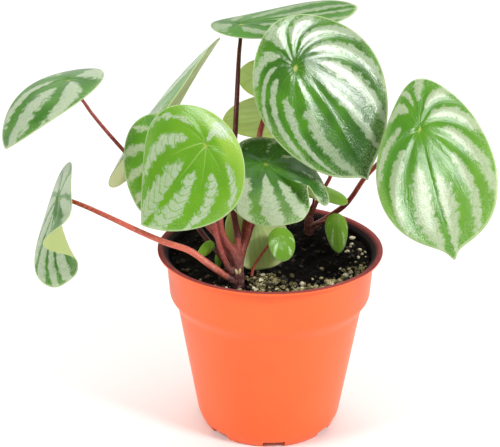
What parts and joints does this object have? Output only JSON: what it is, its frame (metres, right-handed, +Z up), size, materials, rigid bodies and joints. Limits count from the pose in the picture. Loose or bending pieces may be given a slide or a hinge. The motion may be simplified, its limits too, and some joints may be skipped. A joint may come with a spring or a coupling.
{
  "type": "potted peperomia",
  "caption": "House plant with broad drop-shaped leaves in silver and green stripes on red stalks, in a thin tapered plastic nursery pot filled with soil.",
  "frame": {"origin": "centre of the pot's flat base, on the surface that the pot stands on", "axes": "+Z up along the pot's axis, front of the plant towards -Y, +X to the right seen from the front"},
  "size_m": [0.2464, 0.1518, 0.2256],
  "materials": {
    "pot_plastic": "satin",
    "soil": "matte",
    "leaf": "satin",
    "leaf_young": "satin",
    "stem": "satin"
  },
  "bodies": {
    "root": {"pot": "pot_plastic", "soil": "soil", "crown_front": "stem", "crown_rear": "stem", "bud": "leaf", "leaf_far_left": "leaf", "leaf_low_left": "leaf", "leaf_back_left": "leaf", "leaf_top": "leaf", "leaf_center": "leaf", "leaf_right": "leaf", "leaf_front": "leaf", "leaf_front_rear": "leaf", "leaf_middle": "leaf", "leaf_behind_upper": "leaf_young", "leaf_behind_lower": "leaf_young", "leaf_small_round": "leaf", "leaf_small_pointed": "leaf", "leaf_hanging": "leaf_young", "leaf_small_back": "leaf", "leaf_small_folded": "leaf", "petiole_far_left": "stem", "petiole_low_left": "stem", "petiole_back_left": "stem", "petiole_top": "stem", "petiole_center": "stem", "petiole_right": "stem", "petiole_front": "stem", "petiole_front_rear": "stem", "petiole_middle": "stem", "petiole_behind_upper": "stem", "petiole_behind_lower": "stem", "petiole_small_round": "stem", "petiole_small_pointed": "stem", "petiole_hanging": "stem", "petiole_small_back": "stem", "petiole_small_folded": "stem"}
  },
  "joints": []
}
